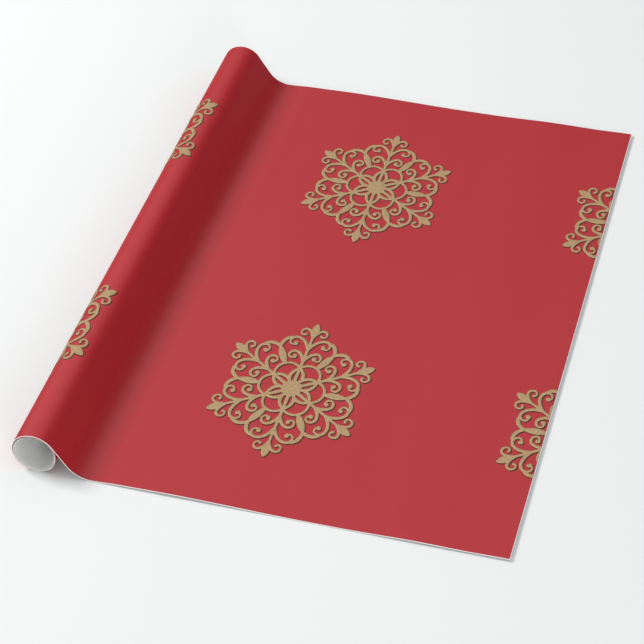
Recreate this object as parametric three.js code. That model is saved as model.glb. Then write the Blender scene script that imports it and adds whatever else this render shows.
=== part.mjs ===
// Gift wrap roll, partly unrolled. Millimetres.
// +Y runs along the roll, +X from the roll towards the free edge of the sheet, +Z up.
// The origin is under the middle of the whole part, on the surface that it lies on.
import * as THREE from 'three';

// ---- driving dimensions ----
const sheetWidth = 762; // across the sheet, along the roll
const sheetThick = 0.3; // the paper is drawn thicker than the real 0.1
const rollRadius = 25.1; // outside of the loose outer turn, across flats
const freeReach = 514.9; // roll axis to the free edge
const leaveAngle = 32.5; // degrees up from +X, where the sheet leaves the roll
const tuckAngle = 322.5; // degrees, where the outer turn meets the coil
const valleyRadius = 32; // bend where the sheet comes down onto the table
const turnStep = 5; // degrees to a facet of the outer turn
const bendSteps = 6; // facets of the rise's half of the valley bend, and of the flat sheet's

const coilRadius = 24; // outside of the tight turns
const coilPaper = 0.1; // one turn's paper
const coilPitch = 0.115; // from one turn to the next
const coilTurns = 8.2; // what is left of a 1.83 m sheet
const coilStep = 10; // degrees to a facet of the coil
const coilShiftX = 0.25; // the coil sags down and forward in the loose turn
const coilDrop = 0.45;

const coreLength = 758; // cut 2 mm inside the paper at each end
const plyThick = 0.45; // one wound ply of paperboard
const plyGap = 0.1; // the glue line between the plies
const coreClearance = 0.35; // between the coil's last turn and the core
const coreFacets = 48;

const meetGap = 0.3; // between two lengths of the one sheet

// ---- worked-out sizes ----
const rollX = (rollRadius - freeReach) / 2; // roll axis, with the part's middle at x = 0
const middleRadius = rollRadius - sheetThick / 2;
const leaveSlope = 90 - leaveAngle; // degrees below level
const leavePoint = pointOnRoll(leaveAngle);
const slopeLength = straightSlope();
const valleyX = reachOfValley();
const meetAngle = 270 - leaveSlope / 2; // the rise meets the flat sheet in mid-bend
const halfGapAngle = THREE.MathUtils.radToDeg(meetGap / 2 / valleyRadius);
const coilInner = coilRadius - coilPitch * coilTurns;
const coreRadius = coilInner - coreClearance;

// low and high places of the flat sheet's underside: distance from the roll axis, height
const ripples = [
  [valleyX, 0],
  [95, 1.5],
  [150, 2.3],
  [300, 0],
  [336, 0],
  [420, 1.8],
  [468, 1.4],
  [freeReach, 2.2],
];
const rippleSteps = 6; // facets between two of those places

function rad(degrees) {
  return THREE.MathUtils.degToRad(degrees);
}

// A point on the middle of the outer turn's paper.
function pointOnRoll(degrees) {
  const x = middleRadius * Math.cos(rad(degrees));
  return new THREE.Vector2(x, rollRadius + middleRadius * Math.sin(rad(degrees)));
}

// The straight slope lasts until the valley bend can bring the sheet down flat.
function straightSlope() {
  const bendDrop = valleyRadius * (1 - Math.cos(rad(leaveSlope)));
  return (leavePoint.y - sheetThick / 2 - bendDrop) / Math.sin(rad(leaveSlope));
}

function reachOfValley() {
  const slopeRun = slopeLength * Math.cos(rad(leaveSlope));
  return leavePoint.x + slopeRun + valleyRadius * Math.sin(rad(leaveSlope));
}

// Points of an arc about a centre, in degrees.
function arcPoints(centre, radius, from, to, steps) {
  const points = [];
  for (let i = 0; i <= steps; i += 1) {
    const angle = rad(from + ((to - from) * i) / steps);
    const x = centre.x + radius * Math.cos(angle);
    points.push(new THREE.Vector2(x, centre.y + radius * Math.sin(angle)));
  }
  return points;
}

// A strip of paper seen from its edge: the line moved half a thickness to each side.
function stripShape(line, thickness) {
  const left = [];
  const right = [];
  line.forEach((point, i) => {
    const before = line[Math.max(i - 1, 0)];
    const after = line[Math.min(i + 1, line.length - 1)];
    const along = after.clone().sub(before).normalize();
    const side = new THREE.Vector2(-along.y, along.x).multiplyScalar(thickness / 2);
    left.push(point.clone().add(side));
    right.push(point.clone().sub(side));
  });
  return new THREE.Shape(left.concat(right.reverse()));
}

// A section in X and Z, carried along Y about the middle of the sheet's width.
function alongRoll(shape, length) {
  const options = { depth: length, bevelEnabled: false, curveSegments: coreFacets };
  const solid = new THREE.ExtrudeGeometry(shape, options);
  solid.rotateX(Math.PI / 2);
  solid.translate(0, length / 2, 0);
  return solid;
}

// The loose turn over the top, down the far side and under the roll.
function outerTurnLine() {
  const steps = Math.round((tuckAngle - leaveAngle) / turnStep);
  const acrossFlats = middleRadius / Math.cos(rad(turnStep / 2));
  const centre = new THREE.Vector2(0, rollRadius);
  return arcPoints(centre, acrossFlats, leaveAngle, tuckAngle, steps);
}

// Part of the valley bend, in degrees about its centre. It comes down level at 270.
function valleyBend(from, to) {
  const centre = new THREE.Vector2(valleyX, valleyRadius + sheetThick / 2);
  return arcPoints(centre, valleyRadius, from, to, bendSteps);
}

// Down the slope and round the first half of the valley bend.
function riseLine() {
  const slope = rad(leaveSlope);
  const down = new THREE.Vector2(Math.cos(slope), -Math.sin(slope));
  const start = leavePoint.clone().addScaledVector(down, meetGap);
  const bendStart = leavePoint.clone().addScaledVector(down, slopeLength);
  const halfway = start.clone().lerp(bendStart, 0.5);
  return [start, halfway].concat(valleyBend(270 - leaveSlope, meetAngle - halfGapAngle));
}

// The rest of the bend, then out along the table: level places joined by half waves of a
// cosine.
function flatLine() {
  const line = valleyBend(meetAngle + halfGapAngle, 270);
  for (let i = 1; i < ripples.length; i += 1) {
    const [x0, z0] = ripples[i - 1];
    const [x1, z1] = ripples[i];
    const steps = z0 === z1 ? 1 : rippleSteps;
    for (let k = 1; k <= steps; k += 1) {
      const part = k / steps;
      const rise = (1 - Math.cos(Math.PI * part)) / 2;
      const height = z0 + (z1 - z0) * rise + sheetThick / 2;
      line.push(new THREE.Vector2(x0 + (x1 - x0) * part, height));
    }
  }
  return line;
}

// A spiral from the outside in: each facet is a little nearer the axis than the last.
function coilLine() {
  const steps = Math.round((coilTurns * 360) / coilStep);
  const line = [];
  for (let i = 0; i <= steps; i += 1) {
    const turned = (i * coilStep) / 360;
    const radius = coilRadius - coilPaper / 2 - coilPitch * turned;
    const angle = rad(tuckAngle + i * coilStep);
    line.push(new THREE.Vector2(radius * Math.cos(angle), radius * Math.sin(angle)));
  }
  return line;
}

// One ply of the core: a ring carried along the roll.
function plyShape(outside) {
  const ring = new THREE.Shape();
  ring.absarc(0, 0, outside, 0, 2 * Math.PI, false);
  const bore = new THREE.Path();
  bore.absarc(0, 0, outside - plyThick, 0, 2 * Math.PI, true);
  ring.holes.push(bore);
  return ring;
}

function named(name, geometry, material) {
  const mesh = new THREE.Mesh(geometry, material);
  mesh.name = name;
  return mesh;
}

function finish(colour, roughness) {
  return new THREE.MeshStandardMaterial({ color: colour, roughness, metalness: 0 });
}

const printedPaper = finish(0xb64248, 0.5);
const woundPaper = finish(0xd9d4d0, 0.7);
const coreBoard = finish(0xc9c7c4, 0.85);
const coreLiner = finish(0xe2e1df, 0.8);

// ---- the one sheet, in three lengths, with the roll axis at x = 0 ----
const sheet = new THREE.Group();
sheet.position.x = rollX;
const outerTurn = alongRoll(stripShape(outerTurnLine(), sheetThick), sheetWidth);
sheet.add(named('outer_turn', outerTurn, printedPaper));
const rise = alongRoll(stripShape(riseLine(), sheetThick), sheetWidth);
sheet.add(named('sheet_rise', rise, printedPaper));
const flat = alongRoll(stripShape(flatLine(), sheetThick), sheetWidth);
sheet.add(named('flat_sheet', flat, printedPaper));

// ---- the coil and its core, about the coil's own axis ----
const coil = new THREE.Group();
coil.position.set(rollX + coilShiftX, 0, rollRadius - coilDrop);
const turns = alongRoll(stripShape(coilLine(), coilPaper), sheetWidth);
coil.add(named('wound_coil', turns, woundPaper));
const outerPly = alongRoll(plyShape(coreRadius), coreLength);
coil.add(named('core_outer_ply', outerPly, coreBoard));
const innerPly = alongRoll(plyShape(coreRadius - plyThick - plyGap), coreLength);
coil.add(named('core_inner_ply', innerPly, coreLiner));

const part = new THREE.Group();
part.add(sheet);
part.add(coil);

export default part;
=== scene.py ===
import math

import bmesh
import bpy
import numpy as np
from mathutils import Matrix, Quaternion, Vector


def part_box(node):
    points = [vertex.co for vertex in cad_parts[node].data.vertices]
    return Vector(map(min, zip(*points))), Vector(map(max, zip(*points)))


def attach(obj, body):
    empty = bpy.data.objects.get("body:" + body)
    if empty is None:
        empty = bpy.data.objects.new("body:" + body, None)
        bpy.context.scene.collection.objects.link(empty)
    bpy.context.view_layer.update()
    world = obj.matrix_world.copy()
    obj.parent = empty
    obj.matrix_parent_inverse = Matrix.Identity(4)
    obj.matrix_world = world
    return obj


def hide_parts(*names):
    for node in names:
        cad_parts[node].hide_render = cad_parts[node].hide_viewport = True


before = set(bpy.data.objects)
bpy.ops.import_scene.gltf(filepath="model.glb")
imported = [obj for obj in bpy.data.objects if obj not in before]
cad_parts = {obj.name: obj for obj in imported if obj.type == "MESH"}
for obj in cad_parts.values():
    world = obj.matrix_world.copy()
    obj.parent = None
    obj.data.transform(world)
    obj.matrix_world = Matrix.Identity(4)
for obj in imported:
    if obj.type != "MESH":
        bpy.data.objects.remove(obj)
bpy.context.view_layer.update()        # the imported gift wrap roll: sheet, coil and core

scene = bpy.context.scene
print("frame loaded")


# ---- camera ----
cameraView = {
    "place": (0.5092, -1.8999, 1.6363),   # metres
    "heading": -15.96,                    # degrees right of +Y
    "dip": 40.67,                         # degrees below level
    "lean": -0.83,                        # degrees, turned about its own line of sight
    "lens": 122.15,                       # mm on a 36 mm sensor
}


def makeCamera(view):
    data = bpy.data.cameras.new("studio_camera")
    data.lens = view["lens"]
    data.sensor_width = 36.0
    data.clip_start = 0.05
    data.clip_end = 60.0
    data.dof.use_dof = False
    camera = bpy.data.objects.new("studio_camera", data)
    scene.collection.objects.link(camera)
    heading = math.radians(view["heading"])
    dip = math.radians(view["dip"])
    level = math.cos(dip)
    sight = Vector((math.sin(heading) * level, math.cos(heading) * level, -math.sin(dip)))
    camera.location = view["place"]
    camera.rotation_mode = "QUATERNION"
    lean = Quaternion((0.0, 0.0, 1.0), math.radians(view["lean"]))
    camera.rotation_quaternion = sight.to_track_quat("-Z", "Y") @ lean
    return camera


scene.camera = makeCamera(cameraView)


# ---- mesh helpers ----
def slabMesh(name, top, bottom, uv, cutRim=False):
    # Two matching grids of points joined round their borders into one closed slab.
    # Faces carry material 0 on top, 1 on the bottom and 2 round the edge, and with
    # cutRim also on top along the first row and both sides, where the cut bares the paper.
    rows, columns = top.shape[:2]
    count = rows * columns
    index = np.arange(count).reshape(rows, columns)
    quads = np.stack([index[:-1, :-1], index[1:, :-1], index[1:, 1:], index[:-1, 1:]], -1)
    topFaces = quads.reshape(-1, 4)
    bottomFaces = topFaces[:, ::-1] + count
    rim = np.concatenate([index[0, :-1], index[:-1, -1], index[-1, :0:-1], index[:0:-1, 0]])
    after = np.roll(rim, -1)
    edgeFaces = np.stack([rim, after, after + count, rim + count], -1)
    faces = np.concatenate([topFaces, bottomFaces, edgeFaces])
    points = np.concatenate([top.reshape(-1, 3), bottom.reshape(-1, 3)])
    mesh = bpy.data.meshes.new(name)
    mesh.from_pydata(points.tolist(), [], faces.tolist())
    finishOf = np.zeros(len(faces), np.int32)
    finishOf[len(topFaces):] = 1
    finishOf[2 * len(topFaces):] = 2
    if cutRim:
        onTop = finishOf[:len(topFaces)].reshape(rows - 1, columns - 1)
        onTop[0, :] = 2
        onTop[:, (0, -1)] = 2
    mesh.polygons.foreach_set("material_index", finishOf)
    smooth = finishOf < 2
    mesh.polygons.foreach_set("use_smooth", smooth)
    flatUv = np.concatenate([uv.reshape(-1, 2)] * 2)
    writeUv(mesh, flatUv)
    piece = bpy.data.objects.new(name, mesh)
    scene.collection.objects.link(piece)
    faceOut(piece)
    return piece


def writeUv(mesh, uvOfPoint):
    # Every corner takes its point's place on the flat sheet, in metres.
    corner = np.zeros(len(mesh.loops), np.int32)
    mesh.loops.foreach_get("vertex_index", corner)
    layer = mesh.uv_layers.new(name="sheetPlace")
    layer.data.foreach_set("uv", uvOfPoint[corner].astype(np.float32).ravel())


def faceOut(piece):
    # One closed body's faces are turned to point away from its inside.
    bm = bmesh.new()
    bm.from_mesh(piece.data)
    bmesh.ops.recalc_face_normals(bm, faces=bm.faces)
    bm.to_mesh(piece.data)
    bm.free()
    piece.data.set_sharp_from_angle(angle=math.radians(50))


def giveFinishes(piece, *materials):
    for material in materials:
        piece.data.materials.append(material)


# ---- the sheet's line, seen from the end of the roll ----
outerLow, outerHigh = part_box("outer_turn")
flatLow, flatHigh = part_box("flat_sheet")
coreLow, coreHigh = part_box("core_outer_ply")
sheetLine = {
    "width": flatHigh.y - flatLow.y,
    "thickness": 0.0005,
    "rollRadius": (outerHigh.z - outerLow.z) / 2,
    "leaveAngle": 32.5,      # degrees up from +X, where the sheet leaves the roll
    "tuckAngle": 322.5,      # degrees, where the loose turn meets the coil
    "valleyRadius": 0.032,   # bend where the sheet comes down onto the table
    # low and high places of the flat length: distance from the roll axis, height
    "ripples": [(0.095, 0.0015), (0.150, 0.0023), (0.300, 0.0), (0.336, 0.0), (0.420, 0.0018),
                (0.468, 0.0014), (0.5149, 0.0022)],
}
rollX = outerLow.x + sheetLine["rollRadius"]
freeX = flatHigh.x
leave = math.radians(sheetLine["leaveAngle"])
dropAngle = math.pi / 2 - leave
middleRadius = sheetLine["rollRadius"] - sheetLine["thickness"] / 2
leaveX = rollX + middleRadius * math.cos(leave)
leaveZ = sheetLine["rollRadius"] + middleRadius * math.sin(leave)
bendDrop = sheetLine["valleyRadius"] * (1 - math.cos(dropAngle))
slopeLength = (leaveZ - sheetLine["thickness"] / 2 - bendDrop) / math.sin(dropAngle)
bendLength = sheetLine["valleyRadius"] * dropAngle
valleyX = leaveX + slopeLength * math.cos(dropAngle) + sheetLine["valleyRadius"] * math.sin(dropAngle)
flatLength = freeX - valleyX
leaveAt = flatLength + bendLength + slopeLength
turnLength = middleRadius * math.radians(sheetLine["tuckAngle"] - sheetLine["leaveAngle"])
sheetLength = leaveAt + turnLength


def rippleHeight(fromRoll):
    # Level places joined by half waves of a cosine.
    places = [(valleyX - rollX, 0.0)] + sheetLine["ripples"]
    at = np.array([place[0] for place in places])
    high = np.array([place[1] for place in places])
    step = np.clip(np.searchsorted(at, fromRoll, side="right") - 1, 0, len(at) - 2)
    share = np.clip((fromRoll - at[step]) / (at[step + 1] - at[step]), 0, 1)
    rise = (1 - np.cos(np.pi * share)) / 2
    return high[step] + (high[step + 1] - high[step]) * rise


looseWaves = {
    "height": 0.0007,
    "fadeLength": 0.05,      # they die out over this length before the roll
    "calmLength": 0.12,      # and are lower over this length from the free edge
    "calm": 0.35,
    "waves": ((9.1, 7.3, 0.0), (17.3, -4.1, 1.9)),   # radians per metre across and along, start
}


def looseness(along, across):
    # The sum of two slow sine waves, which lifts the free length a little.
    fade = np.clip((leaveAt - along) / looseWaves["fadeLength"], 0, 1)
    edge = np.clip(along / looseWaves["calmLength"], 0, 1)
    calm = looseWaves["calm"]
    wave = 0.5
    for perAcross, perAlong, start in looseWaves["waves"]:
        wave = wave + 0.25 * np.sin(across * perAcross + along * perAlong + start)
    return looseWaves["height"] * wave * fade * fade * (calm + (1 - calm) * edge)


def sheetPoint(along, across, above=0.0):
    # along is the distance from the free edge, measured in the paper, and across the
    # distance from its middle. Flat, then a concave arc, a straight slope and the loose
    # turn; above is the height over the middle of the paper, on the printed side.
    along, across = np.broadcast_arrays(np.asarray(along, float), np.asarray(across, float))
    x = freeX - along
    z = sheetLine["thickness"] / 2 + rippleHeight(x - rollX)
    step = 0.0005
    lift = rippleHeight(x - rollX + step) - rippleHeight(x - rollX - step)
    angle = np.arctan2(-lift, 2 * step)          # tilt of the printed side from straight up
    bend = (along - flatLength) / sheetLine["valleyRadius"]
    inBend = (bend > 0) & (bend <= dropAngle)
    x = np.where(inBend, valleyX - sheetLine["valleyRadius"] * np.sin(bend), x)
    bendZ = sheetLine["thickness"] / 2 + sheetLine["valleyRadius"] * (1 - np.cos(bend))
    z = np.where(inBend, bendZ, z)
    angle = np.where(inBend, bend, angle)
    slope = along - flatLength - bendLength
    inSlope = (slope > 0) & (slope <= slopeLength)
    x = np.where(inSlope, leaveX + (slopeLength - slope) * math.cos(dropAngle), x)
    z = np.where(inSlope, leaveZ - (slopeLength - slope) * math.sin(dropAngle), z)
    angle = np.where(inSlope, dropAngle, angle)
    turn = (along - leaveAt) / middleRadius
    inTurn = turn > 0
    around = leave + turn
    x = np.where(inTurn, rollX + middleRadius * np.cos(around), x)
    z = np.where(inTurn, sheetLine["rollRadius"] + middleRadius * np.sin(around), z)
    angle = np.where(inTurn, math.pi / 2 - around, angle)
    above = above + looseness(along, across)
    return np.stack([x + above * np.sin(angle), across, z + above * np.cos(angle)], -1)


# ---- printed sheet ----
sheetGrid = {
    "flatStep": 0.0022,
    "curveStep": 0.0012,
    "acrossStep": 0.008,
    "cutRim": 0.0004,         # bare paper beside the cut
}


def makeSheet():
    rim = sheetGrid["cutRim"]
    flatSteps = np.append(0, np.arange(rim, flatLength, sheetGrid["flatStep"]))
    curveCount = int((sheetLength - flatLength) / sheetGrid["curveStep"])
    along = np.concatenate([flatSteps, np.linspace(flatLength, sheetLength, curveCount)])
    half = sheetLine["width"] / 2
    inner = np.linspace(rim - half, half - rim, int(sheetLine["width"] / sheetGrid["acrossStep"]))
    across = np.concatenate([[-half], inner, [half]])
    alongGrid, acrossGrid = np.meshgrid(along, across, indexing="ij")
    top = sheetPoint(alongGrid, acrossGrid, sheetLine["thickness"] / 2)
    bottom = sheetPoint(alongGrid, acrossGrid, -sheetLine["thickness"] / 2)
    return slabMesh("printed_sheet", top, bottom, np.stack([alongGrid, acrossGrid], -1), cutRim=True)


# ---- gold print ----
ornament = {
    "tip": 0.1113,            # middle to point, across the sheet
    "squeeze": 0.837,         # its length along the sheet, to its width across
    "firstAlong": 0.2865,     # from the free edge to the first whole ornament's middle
    "pitchAlong": 0.3245,
    "rows": (-0.1883, 0.1927),
    "grid": 0.55,             # in hundredths of the tip
    "bevel": 0.9,
    "rise": 0.00030,
    "trim": 0.0006,           # the print stops this far inside the sheet's ends
    "pressed": 0.003,         # the relief flattens where the roll is this close to the table
    # painted shadow: a dark copy of each ornament, moved toward the free edge and the front, stands in
    # for the shadow the raised gold would cast
    "paintedShadowShift": (-0.0012, -0.0013),   # along, across
    "goldGrow": -0.2,         # how far each layer's edge lies outside the drawn outline
    "paintedShadowGrow": 0.2,
    "goldBase": 0.00006,      # each layer's outline stands this far above the paper
    "paintedShadowBase": 0.00003,
    "sunk": 0.00004,          # and its back lies this far under the paper's face
}
# One side of one spoke. The spoke runs along u with its point at 100; each stroke is four
# control points (u, v) and three half widths.
strokes = [
    (((0, 0), (30, 0), (60, 0), (88, 0)), (2.3, 2.0, 1.6)),              # spoke
    (((5, 1), (12, 11), (24, 10), (31, 0)), (2.0, 2.3, 1.8)),            # petal
    (((31, 0), (36, 4), (39, 13), (34.6, 20)), (2.0, 1.8, 2.0)),         # scallop round the petals
    (((34.6, 20), (42, 24.2), (50, 28.9), (58, 33.5)), (1.4, 4.6, 1.3)),  # leaf between spokes
    (((42, 0), (53, 4), (60, 14), (52, 19)), (2.4, 2.1, 1.8)),           # inner scroll
    (((52, 19), (46, 22), (42, 15), (47, 12)), (1.8, 1.5, 1.6)),
    (((47, 12), (47.4, 12), (47.8, 12), (48.2, 12)), (2.7, 2.7, 2.7)),   # its bead
    (((60, 0), (71, 4), (80, 14), (75, 22)), (2.4, 2.1, 2.0)),           # outer scroll
    (((75, 22), (70, 28), (61, 23), (66, 17)), (2.0, 1.5, 1.6)),
    (((66, 17), (66.4, 17), (66.8, 17), (67.2, 17)), (2.7, 2.7, 2.7)),   # its bead
    (((75, 22), (74, 30), (67, 34), (58, 33.5)), (1.9, 2.5, 2.2)),       # outline from scroll to leaf
    (((79, 0), (88, 3), (95, 10), (89, 15)), (2.2, 1.9, 1.7)),           # small scroll at the tip
    (((89, 15), (84, 18), (79, 13), (83, 9.5)), (1.7, 1.4, 1.9)),
    (((84, 0), (89, 0), (94, 0), (101, 0)), (1.6, 5.0, 0.2)),            # bud
]
starPoint = 17.0
starWaist = 10.0


def strokeDistance(points):
    # Distance from points to the nearest stroke's edge: each cubic curve is cut into short
    # lines whose half width runs from end to end, less than nothing inside.
    nearest = np.full(len(points), 1e9)
    share = np.linspace(0, 1, 20)[:, None]
    for controls, widths in strokes:
        a, b, c, d = np.array(controls, float)
        curve = (1 - share) ** 3 * a + 3 * (1 - share) ** 2 * share * b
        curve = curve + 3 * (1 - share) * share ** 2 * c + share ** 3 * d
        near, middle, far = widths
        swell = 2 * middle - (near + far) / 2
        wide = ((1 - share) ** 2 * near + 2 * (1 - share) * share * swell + share ** 2 * far)[:, 0]
        for start, end, startWide, endWide in zip(curve[:-1], curve[1:], wide[:-1], wide[1:]):
            line = end - start
            away = points - start
            part = np.clip(away @ line / (line @ line), 0, 1)
            gap = away - part[:, None] * line
            edge = np.hypot(gap[:, 0], gap[:, 1]) - startWide - (endWide - startWide) * part
            nearest = np.minimum(nearest, edge)
    return nearest


def ornamentDistance(u, v):
    # The plane is folded six ways and then in two about a spoke, so one side of one spoke
    # draws them all. Its two neighbours are measured too, as strokes may reach over.
    radius = np.hypot(u, v).ravel()
    sector = math.pi / 3
    fold = np.abs((np.arctan2(v, u).ravel() + sector / 2) % sector - sector / 2)
    distance = np.full(radius.shape, 1e9)
    for turned in (fold, -fold, sector - fold):
        points = np.stack([radius * np.cos(turned), radius * np.sin(turned)], -1)
        distance = np.minimum(distance, strokeDistance(points))
    waist = np.array([math.cos(math.pi / 6), math.sin(math.pi / 6)]) * starWaist
    side = np.array([waist[1], starPoint - waist[0]])
    side = side / np.linalg.norm(side)
    u0 = radius * np.cos(fold) - starPoint
    starEdge = u0 * side[0] + radius * np.sin(fold) * side[1]
    return np.minimum(distance, starEdge).reshape(u.shape)


reach = 104.0
gridLine = np.arange(-reach, reach, ornament["grid"])
ornamentV, ornamentU = np.meshgrid(gridLine, gridLine, indexing="ij")   # rows along, columns across
ornamentField = ornamentDistance(ornamentU, ornamentV)
print("ornament drawn")


def printLayer(name, along0, across0, grow, rise, base, bevel):
    # The ornament's outline on the sheet: grid cells inside it, with their border points
    # slid onto the outline down the slope of the distance, raised from the edge inwards.
    unit = ornament["tip"] / 100
    alongUnit = unit * ornament["squeeze"]
    field = ornamentField - grow
    along = along0 + ornamentV * alongUnit
    margin = np.maximum(ornament["trim"] - along, along - sheetLength + ornament["trim"]) / alongUnit
    cut = np.maximum(field, margin)
    centre = (cut[:-1, :-1] + cut[1:, :-1] + cut[1:, 1:] + cut[:-1, 1:]) / 4
    keep = centre < 0
    padded = np.pad(keep, 1)
    around = padded[:-1, :-1].astype(int) + padded[1:, :-1] + padded[1:, 1:] + padded[:-1, 1:]
    border = (around > 0) & (around < 4)
    downV, downU = np.gradient(cut, ornament["grid"])
    steep = np.maximum(downV ** 2 + downU ** 2, 0.2)
    limit = 0.7 * ornament["grid"]
    slideV = np.clip(-cut * downV / steep, -limit, limit) * border
    slideU = np.clip(-cut * downU / steep, -limit, limit) * border
    along = along0 + (ornamentV + slideV) * alongUnit
    across = across0 + (ornamentU + slideU) * unit
    depth = np.clip(-field / bevel, 0, 1) * ~border
    height = sheetPoint(along, across)[..., 2]
    pressed = (along > leaveAt) * np.clip(1 - height / ornament["pressed"], 0, 1)
    high = base + rise * depth * (2 - depth) * (1 - pressed)
    used = around > 0
    order = np.cumsum(used.ravel()).reshape(used.shape) - 1
    top = sheetPoint(along[used], across[used], high[used])
    bottom = sheetPoint(along[used], across[used], sheetLine["thickness"] / 2 - ornament["sunk"])
    count = len(top)
    quads = np.stack([order[:-1, :-1], order[1:, :-1], order[1:, 1:], order[:-1, 1:]], -1)[keep]
    corners = np.stack([order[:-1, :-1], order[1:, :-1], order[1:, 1:], order[:-1, 1:]], -1)
    beside = (padded[1:-1, :-2], padded[2:, 1:-1], padded[1:-1, 2:], padded[:-2, 1:-1])
    sides = []
    for side, filled in enumerate(beside):
        atRim = corners[keep & ~filled]
        start = atRim[:, side]
        end = atRim[:, (side + 1) % 4]
        sides.append(np.stack([end, start, start + count, end + count], -1))
    faces = np.concatenate([quads, quads[:, ::-1] + count] + sides)
    mesh = bpy.data.meshes.new(name)
    mesh.from_pydata(np.concatenate([top, bottom]).tolist(), [], faces.tolist())
    smooth = np.zeros(len(faces), bool)
    smooth[:len(quads)] = True
    mesh.polygons.foreach_set("use_smooth", smooth)
    place = np.stack([along[used], across[used]], -1)
    writeUv(mesh, np.concatenate([place, place]))
    mesh.set_sharp_from_angle(angle=math.radians(50))
    piece = bpy.data.objects.new(name, mesh)
    scene.collection.objects.link(piece)
    return piece


# ---- wound coil ----
coilShape = {
    "outside": 0.02400,
    "inside": 0.02306,
    "paper": 0.0001,
    "turns": 8.2,
    "stepAngle": 3.75,       # degrees
    "looseTurns": (1.3, 3.6, 6.1),   # where a wider gap shows
    "evenShare": 0.25,       # an ordinary turn's gap, as a share of a wider one
    "gapStart": 9,           # how suddenly a wider gap opens
    "endShift": 0.0006,      # how unevenly the turns end
    "endWaves": ((0.3, 2.7, 0.0), (0.2, 11.3, 1.0)),   # share, radians per turn, start
}
coilX = (coreLow.x + coreHigh.x) / 2
coilZ = (coreLow.z + coreHigh.z) / 2


def makeCoil():
    # A spiral from the outside in. The gap between turns widens at a few places, so that
    # the turns show at the end of the roll as bundles of layers.
    steps = int(coilShape["turns"] * 360 / coilShape["stepAngle"])
    turns = np.linspace(0, coilShape["turns"], steps)
    angle = math.radians(sheetLine["tuckAngle"]) + turns * 2 * math.pi
    slack = coilShape["outside"] - coilShape["inside"] - coilShape["paper"] * coilShape["turns"]
    gaps = turns * coilShape["evenShare"]
    for place in coilShape["looseTurns"]:
        gaps = gaps + 1 / (1 + np.exp(-(turns - place) * coilShape["gapStart"]))
    inward = coilShape["paper"] * turns + slack * gaps / gaps[-1]
    outer = coilShape["outside"] - inward
    inner = outer - coilShape["paper"]
    half = sheetLine["width"] / 2
    uneven = 0.5
    for share, perTurn, start in coilShape["endWaves"]:
        uneven = uneven + share * np.sin(turns * perTurn + start)
    across = np.linspace(-1, 1, 9)
    reachY = (half - coilShape["endShift"] * uneven)[:, None] * across[None, :]
    def ring(radius):
        x = coilX + radius * np.cos(angle)
        z = coilZ + radius * np.sin(angle)
        wide = np.ones(len(across))
        return np.stack([x[:, None] * wide, reachY, z[:, None] * wide], -1)
    paperRun = sheetLength + 2 * math.pi * np.cumsum(outer) * turns[1]
    place = np.stack([np.broadcast_to(paperRun[:, None], reachY.shape), reachY], -1)
    return slabMesh("coil_turns", ring(outer), ring(inner), place), paperRun[-1] - sheetLength


# ---- paperboard core ----
coreShape = {
    "length": coreHigh.y - coreLow.y,
    "outside": (coreHigh.z - coreLow.z) / 2,
    "ply": 0.00045,
    "glue": 0.00010,
    "strip": 0.076,          # width of the wound strip, along the core
    "seam": 0.0005,
    "facets": 96,
}


def makePly(name, outside, start):
    # A strip wound in a helix, one strip's width to a turn with a hairline seam, and cut
    # square at both ends of the core.
    strip = coreShape["strip"]
    half = coreShape["length"] / 2
    turns = int(coreShape["length"] / strip) + 3
    angle = np.linspace(0, turns * 2 * math.pi, turns * coreShape["facets"] + 1)
    low = -half - strip * 1.5 + start * strip + strip * angle / (2 * math.pi)
    share = np.linspace(0, 1, 4)
    y = low[:, None] + share[None, :] * (strip - coreShape["seam"])
    def ring(radius):
        x = np.broadcast_to((coilX + radius * np.cos(angle))[:, None], y.shape)
        z = np.broadcast_to((coilZ + radius * np.sin(angle))[:, None], y.shape)
        return np.stack([x, y, z], -1)
    place = np.stack([np.broadcast_to((outside * angle)[:, None], y.shape), y], -1)
    piece = slabMesh(name, ring(outside), ring(outside - coreShape["ply"]), place)
    bm = bmesh.new()
    bm.from_mesh(piece.data)
    for end in (-half, half):
        everything = bm.verts[:] + bm.edges[:] + bm.faces[:]
        outward = (0, math.copysign(1, end), 0)
        result = bmesh.ops.bisect_plane(
            bm, geom=everything, plane_co=(0, end, 0), plane_no=outward, clear_outer=True)
        edges = [item for item in result["geom_cut"] if isinstance(item, bmesh.types.BMEdge)]
        filled = bmesh.ops.triangle_fill(bm, edges=edges, use_beauty=True, normal=outward)
        for item in filled["geom"]:
            if isinstance(item, bmesh.types.BMFace):
                item.material_index = 2
                item.smooth = False
    bm.to_mesh(piece.data)
    bm.free()
    faceOut(piece)
    return piece


# ---- materials ----
def newMaterial(name):
    material = bpy.data.materials.new(name)
    material.use_nodes = True
    tree = material.node_tree
    shader = tree.nodes["Principled BSDF"]
    return material, tree, shader


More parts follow.
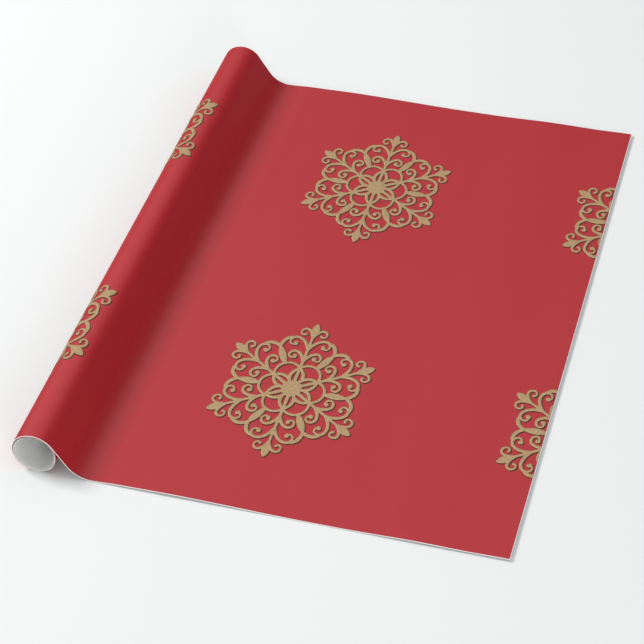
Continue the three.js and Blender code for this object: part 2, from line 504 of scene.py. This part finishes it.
def makeGrainGroup():
    # Paper grain: slow mottling, short fibres and fine tooth, from one place vector.
    group = bpy.data.node_groups.new("paperGrain", "ShaderNodeTree")
    face = group.interface
    face.new_socket("Place", in_out="INPUT", socket_type="NodeSocketVector")
    face.new_socket("Mottle Scale", in_out="INPUT", socket_type="NodeSocketFloat")
    face.new_socket("Fibre Scale", in_out="INPUT", socket_type="NodeSocketFloat")
    face.new_socket("Mottle", in_out="OUTPUT", socket_type="NodeSocketFloat")
    face.new_socket("Fibre", in_out="OUTPUT", socket_type="NodeSocketFloat")
    face.new_socket("Height", in_out="OUTPUT", socket_type="NodeSocketFloat")
    nodes = group.nodes
    links = group.links
    source = nodes.new("NodeGroupInput")
    sink = nodes.new("NodeGroupOutput")
    mottle = nodes.new("ShaderNodeTexNoise")
    mottle.inputs["Detail"].default_value = 5
    mottle.inputs["Roughness"].default_value = 0.6
    links.new(source.outputs["Place"], mottle.inputs["Vector"])
    links.new(source.outputs["Mottle Scale"], mottle.inputs["Scale"])
    stretch = nodes.new("ShaderNodeMapping")
    stretch.inputs["Scale"].default_value = (0.35, 1.0, 1.0)
    stretch.inputs["Rotation"].default_value = (0, 0, 0.3)
    links.new(source.outputs["Place"], stretch.inputs["Vector"])
    fibre = nodes.new("ShaderNodeTexNoise")
    fibre.inputs["Detail"].default_value = 3
    fibre.inputs["Distortion"].default_value = 1.2
    links.new(stretch.outputs["Vector"], fibre.inputs["Vector"])
    links.new(source.outputs["Fibre Scale"], fibre.inputs["Scale"])
    tooth = nodes.new("ShaderNodeMath")
    tooth.operation = "MULTIPLY_ADD"
    tooth.inputs[1].default_value = 0.6
    links.new(fibre.outputs["Fac"], tooth.inputs[0])
    links.new(mottle.outputs["Fac"], tooth.inputs[2])
    links.new(mottle.outputs["Fac"], sink.inputs["Mottle"])
    links.new(fibre.outputs["Fac"], sink.inputs["Fibre"])
    links.new(tooth.outputs["Value"], sink.inputs["Height"])
    return group


grainGroup = makeGrainGroup()
noiseLow = 0.3               # most of the noise lies between these
noiseHigh = 0.7


def grainyPaper(name, look):
    # A paper or board: two close colours mixed by the grain, and a fine tooth.
    material, tree, shader = newMaterial(name)
    nodes = tree.nodes
    links = tree.links
    place = nodes.new("ShaderNodeUVMap")
    place.uv_map = "sheetPlace"
    grain = nodes.new("ShaderNodeGroup")
    grain.node_tree = grainGroup
    grain.inputs["Mottle Scale"].default_value = look["mottle"]
    grain.inputs["Fibre Scale"].default_value = look["fibre"]
    links.new(place.outputs["UV"], grain.inputs["Place"])
    share = nodes.new("ShaderNodeMix")
    share.data_type = "FLOAT"
    share.inputs["Factor"].default_value = look["fibreShare"]
    links.new(grain.outputs["Mottle"], share.inputs[2])
    links.new(grain.outputs["Fibre"], share.inputs[3])
    spread = nodes.new("ShaderNodeMapRange")
    spread.inputs["From Min"].default_value = noiseLow
    spread.inputs["From Max"].default_value = noiseHigh
    links.new(share.outputs[0], spread.inputs["Value"])
    colour = nodes.new("ShaderNodeMix")
    colour.data_type = "RGBA"
    colour.inputs[6].default_value = (*look["dark"], 1)
    colour.inputs[7].default_value = (*look["light"], 1)
    links.new(spread.outputs["Result"], colour.inputs["Factor"])
    links.new(colour.outputs[2], shader.inputs["Base Color"])
    gloss = nodes.new("ShaderNodeMapRange")
    gloss.inputs["From Min"].default_value = noiseLow
    gloss.inputs["From Max"].default_value = noiseHigh
    gloss.inputs["To Min"].default_value = look["rough"] - look["roughSpread"]
    gloss.inputs["To Max"].default_value = look["rough"] + look["roughSpread"]
    links.new(grain.outputs["Fibre"], gloss.inputs["Value"])
    links.new(gloss.outputs["Result"], shader.inputs["Roughness"])
    bump = nodes.new("ShaderNodeBump")
    bump.inputs["Strength"].default_value = look["bump"]
    bump.inputs["Distance"].default_value = look["tooth"]
    links.new(grain.outputs["Height"], bump.inputs["Height"])
    links.new(bump.outputs["Normal"], shader.inputs["Normal"])
    shader.inputs["Metallic"].default_value = look.get("metal", 0)
    shader.inputs["Specular IOR Level"].default_value = look["shine"]
    return material


paperLooks = {
    "red_print": {
        "dark": (0.390, 0.0135, 0.0202), "light": (0.424, 0.0160, 0.0236),
        "mottle": 60, "fibre": 900, "fibreShare": 0.5,
        "rough": 0.32, "roughSpread": 0.04, "bump": 0.25, "tooth": 0.00006, "shine": 0.45,
    },
    "white_back": {
        "dark": (0.70, 0.70, 0.69), "light": (0.80, 0.80, 0.79),
        "mottle": 80, "fibre": 700, "fibreShare": 0.6,
        "rough": 0.8, "roughSpread": 0.06, "bump": 0.35, "tooth": 0.00008, "shine": 0.3,
    },
    "paper_edge": {
        "dark": (0.90, 0.90, 0.89), "light": (0.97, 0.97, 0.96),
        "mottle": 300, "fibre": 1500, "fibreShare": 0.6,
        "rough": 0.85, "roughSpread": 0.05, "bump": 0.4, "tooth": 0.00008, "shine": 0.3,
    },
    "gold_print": {
        "dark": (0.29, 0.190, 0.092), "light": (0.62, 0.425, 0.225),
        "mottle": 420, "fibre": 900, "fibreShare": 0.5,
        "rough": 0.46, "roughSpread": 0.08, "bump": 0.5, "tooth": 0.00008, "shine": 0.5, "metal": 0.35,
    },
    # painted shadow: dark brown, laid under the gold and moved aside, standing in for each ornament's
    # cast shadow
    "painted_ornament_shadow": {
        "dark": (0.050, 0.016, 0.008), "light": (0.085, 0.028, 0.014),
        "mottle": 400, "fibre": 1500, "fibreShare": 0.5,
        "rough": 0.55, "roughSpread": 0.05, "bump": 0.2, "tooth": 0.00005, "shine": 0.3,
    },
    "core_board": {
        "dark": (0.52, 0.51, 0.48), "light": (0.64, 0.63, 0.60),
        "mottle": 120, "fibre": 600, "fibreShare": 0.7,
        "rough": 0.88, "roughSpread": 0.05, "bump": 0.5, "tooth": 0.0001, "shine": 0.25,
    },
    "core_liner": {
        "dark": (0.70, 0.70, 0.69), "light": (0.80, 0.80, 0.79),
        "mottle": 90, "fibre": 600, "fibreShare": 0.6,
        "rough": 0.75, "roughSpread": 0.06, "bump": 0.4, "tooth": 0.0001, "shine": 0.3,
    },
}
finishes = {name: grainyPaper(name, look) for name, look in paperLooks.items()}
print("materials made")


# ---- pieces ----
printedSheet = makeSheet()
giveFinishes(printedSheet, finishes["red_print"], finishes["white_back"], finishes["paper_edge"])
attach(printedSheet, "sheet")
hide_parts("flat_sheet", "sheet_rise", "outer_turn")

columns = range(-1, 2)
for column in columns:
    for row, across0 in enumerate(ornament["rows"]):
        along0 = ornament["firstAlong"] + column * ornament["pitchAlong"]
        label = f"{column + 2}_{row + 1}"
        printedTop = sheetLine["thickness"] / 2
        gold = printLayer(
            f"gold_ornament_{label}", along0, across0, ornament["goldGrow"], ornament["rise"],
            printedTop + ornament["goldBase"], ornament["bevel"])
        giveFinishes(gold, finishes["gold_print"])
        # each ornament also gets a dark painted shadow layer, moved aside under the gold
        shiftAlong, shiftAcross = ornament["paintedShadowShift"]
        paintedShadow = printLayer(
            f"ornament_painted_shadow_{label}", along0 + shiftAlong, across0 + shiftAcross,
            ornament["paintedShadowGrow"], 0.0, printedTop + ornament["paintedShadowBase"], ornament["bevel"])
        giveFinishes(paintedShadow, finishes["painted_ornament_shadow"])
        for layer in (gold, paintedShadow):
            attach(layer, "sheet")
print("sheet and print made")

coilTurns, coilLength = makeCoil()
giveFinishes(coilTurns, finishes["red_print"], finishes["white_back"], finishes["paper_edge"])
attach(coilTurns, "coil")
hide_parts("wound_coil")

outerPly = makePly("core_outer_wrap", coreShape["outside"], 0.0)
giveFinishes(outerPly, finishes["core_board"], finishes["core_board"], finishes["core_board"])
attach(outerPly, "core")
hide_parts("core_outer_ply")
innerPly = makePly("core_liner_wrap", coreShape["outside"] - coreShape["ply"] - coreShape["glue"], 0.5)
giveFinishes(innerPly, finishes["core_liner"], finishes["core_liner"], finishes["core_liner"])
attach(innerPly, "core")
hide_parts("core_inner_ply")
print("coil and core made")


# ---- studio ----
studio = {
    "floorSize": 14.0,
    "floorDrop": 0.0003,                 # just clear of the lowest print
    "floorColour": (0.82, 0.835, 0.83),
    "floorMirrored": (0.12, 0.12, 0.12), # what gloss picks up from the floor
    "domeLight": 0.575,                  # even light on everything
    "brightWay": (-0.543, -0.8, 1.0),    # what gloss mirrors is a bright ceiling this way,
    "sweepFrom": -0.15,                  # which fades out between these directions
    "sweepTo": 0.22,
    "dimLight": 0.02,
    "brightLight": 1.23,
    "backdropLight": 0.85,               # the plain backdrop, as it is seen directly
    "ambientColour": (0.985, 1.0, 1.0),
    "keyPlace": (-3.6, 0.3, 3.1),        # a softbox beyond the roll
    "keySize": 1.4,
    "keyPower": 158.0,
    "fillPlace": (1.9, -3.4, 0.9),       # a low one in front, for the roll's end
    "fillSize": 1.2,
    "fillPower": 46.0,
}


def makeStudio():
    bpy.ops.mesh.primitive_plane_add(size=studio["floorSize"], location=(0, 0, -studio["floorDrop"]))
    floor = bpy.context.object
    floor.name = "studio_floor"
    material, tree, shader = newMaterial("studio_floor")
    seen = tree.nodes.new("ShaderNodeLightPath")
    colour = tree.nodes.new("ShaderNodeMix")
    colour.data_type = "RGBA"
    colour.inputs[6].default_value = (*studio["floorColour"], 1)
    colour.inputs[7].default_value = (*studio["floorMirrored"], 1)
    tree.links.new(seen.outputs["Is Glossy Ray"], colour.inputs["Factor"])
    tree.links.new(colour.outputs[2], shader.inputs["Base Color"])
    shader.inputs["Roughness"].default_value = 0.7
    shader.inputs["Specular IOR Level"].default_value = 0.2
    giveFinishes(floor, material)
    world = bpy.data.worlds.new("studio_world")
    scene.world = world
    world.use_nodes = True
    nodes = world.node_tree.nodes
    links = world.node_tree.links
    sky = nodes["Background"]
    place = nodes.new("ShaderNodeTexCoord")
    toward = nodes.new("ShaderNodeVectorMath")
    toward.operation = "DOT_PRODUCT"
    toward.inputs[1].default_value = Vector(studio["brightWay"]).normalized()
    links.new(place.outputs["Generated"], toward.inputs[0])
    sweep = nodes.new("ShaderNodeMapRange")
    sweep.interpolation_type = "SMOOTHSTEP"
    sweep.inputs["From Min"].default_value = studio["sweepFrom"]
    sweep.inputs["From Max"].default_value = studio["sweepTo"]
    sweep.inputs["To Min"].default_value = studio["dimLight"]
    sweep.inputs["To Max"].default_value = studio["brightLight"]
    links.new(toward.outputs["Value"], sweep.inputs["Value"])
    seen = nodes.new("ShaderNodeLightPath")
    strength = nodes.new("ShaderNodeMix")
    strength.data_type = "FLOAT"
    strength.inputs[3].default_value = studio["backdropLight"]
    mirrored = nodes.new("ShaderNodeMix")
    mirrored.data_type = "FLOAT"
    mirrored.inputs[2].default_value = studio["domeLight"]
    links.new(seen.outputs["Is Glossy Ray"], mirrored.inputs["Factor"])
    links.new(sweep.outputs["Result"], mirrored.inputs[3])
    links.new(seen.outputs["Is Camera Ray"], strength.inputs["Factor"])
    links.new(mirrored.outputs[0], strength.inputs[2])
    links.new(strength.outputs[0], sky.inputs["Strength"])
    sky.inputs["Color"].default_value = (*studio["ambientColour"], 1)
    scene.view_settings.view_transform = "Standard"


def makeSoftbox(kind):
    lamp = bpy.data.lights.new(f"{kind}_softbox", "AREA")
    lamp.size = studio[f"{kind}Size"]
    lamp.energy = studio[f"{kind}Power"]
    softbox = bpy.data.objects.new(f"{kind}_softbox", lamp)
    softbox.location = studio[f"{kind}Place"]
    aim = Vector((0, 0, 0)) - softbox.location
    softbox.rotation_mode = "QUATERNION"
    softbox.rotation_quaternion = aim.to_track_quat("-Z", "Y")
    softbox.visible_glossy = False
    scene.collection.objects.link(softbox)


makeStudio()
makeSoftbox("key")
makeSoftbox("fill")
print("studio made")
